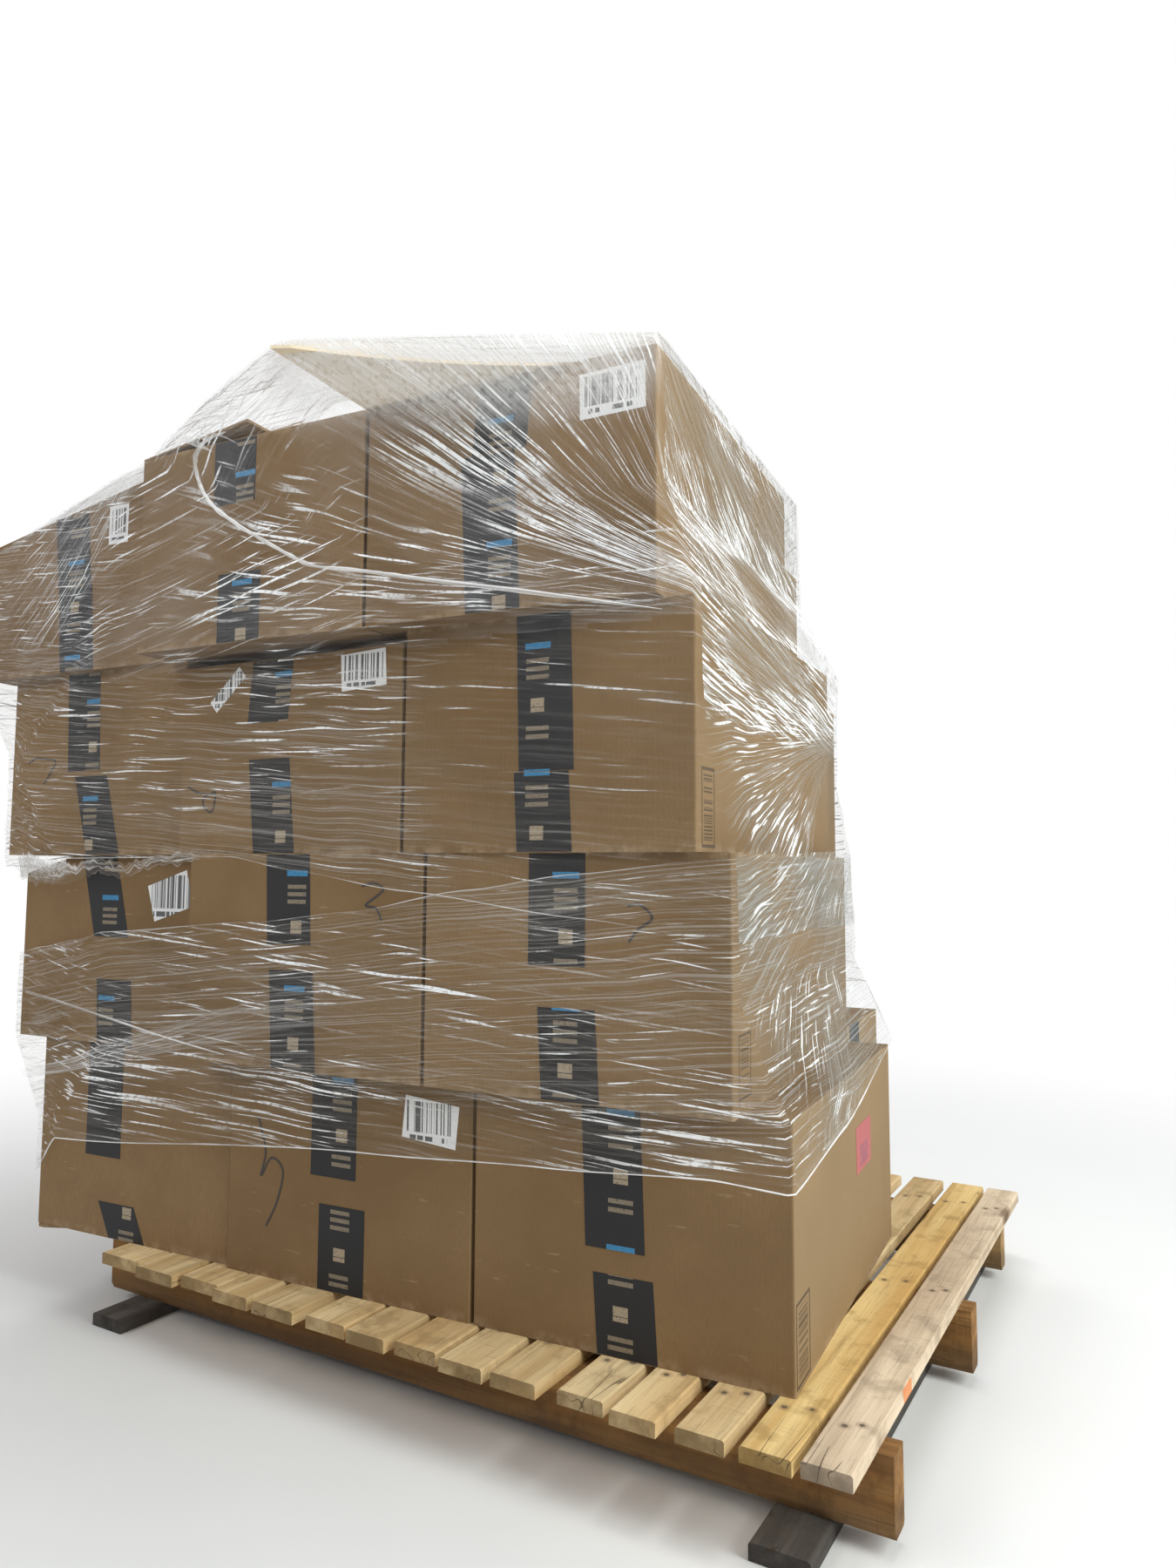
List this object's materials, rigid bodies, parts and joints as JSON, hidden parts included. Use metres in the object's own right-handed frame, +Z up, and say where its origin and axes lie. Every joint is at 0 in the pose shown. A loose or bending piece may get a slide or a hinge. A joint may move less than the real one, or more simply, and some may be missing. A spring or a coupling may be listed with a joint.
{
  "type": "shrink wrapped pallet load",
  "caption": "Used timber pallet carrying tiers of taped cardboard cartons, bound in clear stretch film, with a torn flap and crushed corners.",
  "frame": {"origin": "middle of the whole load's footprint, at the underside of the bottom boards, on the floor", "axes": "+Z up; +X to the right along the stringers, as seen from the front of the load; +Y away from the front, towards the back"},
  "size_m": [1.5494, 1.2784, 1.3059],
  "materials": {
    "pallet_wood": "rough sawn, dry",
    "weathered_wood": "weathered grey, dirty",
    "cardboard": "corrugated brown cardboard, matte",
    "closing_tape": "black paper tape, satin",
    "white_label": "paper, matte",
    "red_label": "paper, matte",
    "stretch_film": "clear film in several turns, glossy and wrinkled"
  },
  "bodies": {
    "root": {"bottom_board_left": "weathered_wood", "bottom_board_right": "weathered_wood", "carton_t1_back_left": "cardboard", "carton_t1_back_right": "cardboard", "carton_t1_left": "cardboard", "carton_t1_mid": "cardboard", "carton_t1_right": "cardboard", "carton_t2_back_left": "cardboard", "carton_t2_back_right": "cardboard", "carton_t2_left": "cardboard", "carton_t2_mid": "cardboard", "carton_t2_right": "cardboard", "carton_t3_back_left": "cardboard", "carton_t3_back_right": "cardboard", "carton_t3_left": "cardboard", "carton_t3_mid": "cardboard", "carton_t3_right": "cardboard", "carton_t4_back_left": "cardboard", "carton_t4_back_right": "cardboard", "carton_t4_left": "cardboard", "carton_t4_mid": "cardboard", "carton_t4_right": "cardboard", "deck_board_01": "pallet_wood", "deck_board_02": "pallet_wood", "deck_board_03": "pallet_wood", "deck_board_04": "pallet_wood", "deck_board_05": "pallet_wood", "deck_board_06": "pallet_wood", "deck_board_07": "pallet_wood", "deck_board_08": "pallet_wood", "deck_board_09": "pallet_wood", "deck_board_10": "pallet_wood", "deck_board_11": "pallet_wood", "deck_board_12": "pallet_wood", "deck_board_13": "pallet_wood", "deck_board_14": "pallet_wood", "deck_board_15": "pallet_wood", "label_t1_mid": "white_label", "label_t1_side": "red_label", "label_t2_left": "white_label", "label_t3_mid": "white_label", "label_t3_mid_narrow": "white_label", "label_t4_left": "white_label", "label_t4_right": "white_label", "stretch_film": "stretch_film", "stringer_back": "pallet_wood", "stringer_front": "pallet_wood", "stringer_middle": "pallet_wood", "tape_t1": "closing_tape", "tape_t2": "closing_tape", "tape_t3": "closing_tape", "tape_t4": "closing_tape"}
  },
  "joints": []
}
